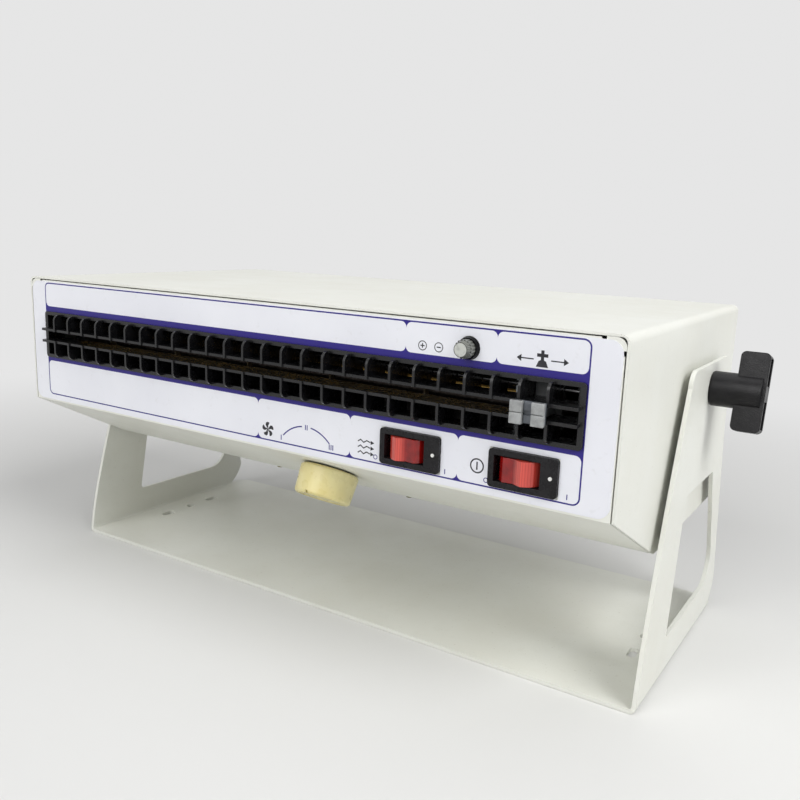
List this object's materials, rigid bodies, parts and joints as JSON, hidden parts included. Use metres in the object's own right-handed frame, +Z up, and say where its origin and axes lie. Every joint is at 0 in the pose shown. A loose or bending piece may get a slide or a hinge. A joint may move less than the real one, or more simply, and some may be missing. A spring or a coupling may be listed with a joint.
{
  "type": "ionizing blower",
  "caption": "Benchtop ionizing air blower: sheet-metal housing with a full-width outlet grille and sliding emitter cleaner, held by clamp knobs on a tilting U stand.",
  "frame": {"origin": "centre of the underside of the stand's base", "axes": "+X to the user's right when facing the air outlet, -Y towards the user, +Z up"},
  "size_m": [0.5052, 0.2475, 0.206],
  "materials": {
    "powder_coat": "fine satin powder coat",
    "label_film": "satin printed film",
    "black_screw": "black zinc",
    "yellow_zinc": "yellow zinc plate",
    "zinc_steel": "zinc plated",
    "black_plastic": "fine moulded texture",
    "knob_black": "fine moulded texture",
    "knob_cream": "aged glossy plastic",
    "rocker_red": "glossy",
    "print_white": "printed",
    "grip_grey": "moulded",
    "brush_grey": "nylon bristle",
    "lens_smoke": "moulded fluted lens",
    "galvanised": "galvanised sheet",
    "wheel_metal": "thin pressed blades",
    "steel": "ground",
    "bronze": "sintered bronze",
    "lamination": "varnished laminations",
    "mica": "pressed mica board",
    "heater_wire": "coiled resistance wire",
    "emitter_amber": "translucent amber resin",
    "potting_black": "potted case",
    "terminal_nylon": "moulded nylon",
    "switch_phenolic": "phenolic",
    "filter_foam": "open-cell foam"
  },
  "bodies": {
    "stand": {"stand": "powder_coat", "stand_washers": "black_plastic"},
    "housing": {"chassis": "powder_coat", "cover": "powder_coat", "front_label": "label_film", "cover_screws": "black_screw", "floor_screws": "yellow_zinc", "pivot_inserts": "zinc_steel", "outlet_grille": "black_plastic", "cleaner_rail": "steel", "rear_grille": "black_plastic", "air_filter": "filter_foam", "grille_screws": "zinc_steel", "scroll_casing": "galvanised", "outlet_tongue": "galvanised", "fan_end_plates": "galvanised", "fan_bearings": "bronze", "motor_stator": "lamination", "motor_bracket": "zinc_steel", "heater_frame": "mica", "heater_coils": "heater_wire", "emitter_bar": "emitter_amber", "emitter_needles": "steel", "high_voltage_unit": "potting_black", "terminal_block": "terminal_nylon", "speed_switch": "switch_phenolic", "speed_switch_nut": "zinc_steel", "warm_bezel": "black_plastic", "power_bezel": "black_plastic", "switch_dots": "print_white", "indicator_ring": "black_plastic", "indicator_lens": "lens_smoke", "mains_inlet": "black_plastic", "inlet_pins": "steel", "inlet_screws": "zinc_steel"},
    "fan": {"fan_wheel": "wheel_metal", "fan_shaft": "steel", "motor_rotor": "steel"},
    "speed_control": {"speed_knob": "knob_cream", "speed_spindle": "steel"},
    "warm_switch": {"warm_rocker": "rocker_red"},
    "power_switch": {"power_rocker": "rocker_red"},
    "cleaner": {"cleaner_grip": "grip_grey", "cleaner_arm": "grip_grey", "cleaner_brush": "brush_grey"},
    "left_clamp": {"left_clamp_knob": "knob_black", "left_clamp_stud": "zinc_steel"},
    "right_clamp": {"right_clamp_knob": "knob_black", "right_clamp_stud": "zinc_steel"}
  },
  "joints": [
    {"name": "housing_tilt", "type": "hinge", "parent": "stand", "child": "housing", "pos_m": [0, 0.0105, 0.163], "axis": [1, 0, 0], "range_deg": [-90, 90]},
    {"name": "fan_spin", "type": "hinge", "parent": "housing", "child": "fan", "pos_m": [0, -0.0075, 0.14], "axis": [1, 0, 0], "continuous": true},
    {"name": "speed_turn", "type": "hinge", "parent": "housing", "child": "speed_control", "pos_m": [0.0335, -0.10735, 0.10508], "axis": [0, -0.4567, -0.8896], "range_deg": [-52, 52]},
    {"name": "warm_toggle", "type": "hinge", "parent": "housing", "child": "warm_switch", "pos_m": [0.1022, -0.12715, 0.1348], "axis": [0, 0, 1], "range_deg": [-20, 0]},
    {"name": "power_toggle", "type": "hinge", "parent": "housing", "child": "power_switch", "pos_m": [0.1667, -0.12715, 0.1348], "axis": [0, 0, 1], "range_deg": [0, 20]},
    {"name": "cleaner_slide", "type": "slide", "parent": "housing", "child": "cleaner", "axis": [1, 0, 0], "range_m": [-0.351, 0.005]},
    {"name": "left_clamp_turn", "type": "hinge", "parent": "housing", "child": "left_clamp", "pos_m": [-0.24, 0.0105, 0.163], "axis": [1, 0, 0], "range_deg": [-360, 360]},
    {"name": "right_clamp_turn", "type": "hinge", "parent": "housing", "child": "right_clamp", "pos_m": [0.24, 0.0105, 0.163], "axis": [1, 0, 0], "range_deg": [-360, 360]}
  ]
}
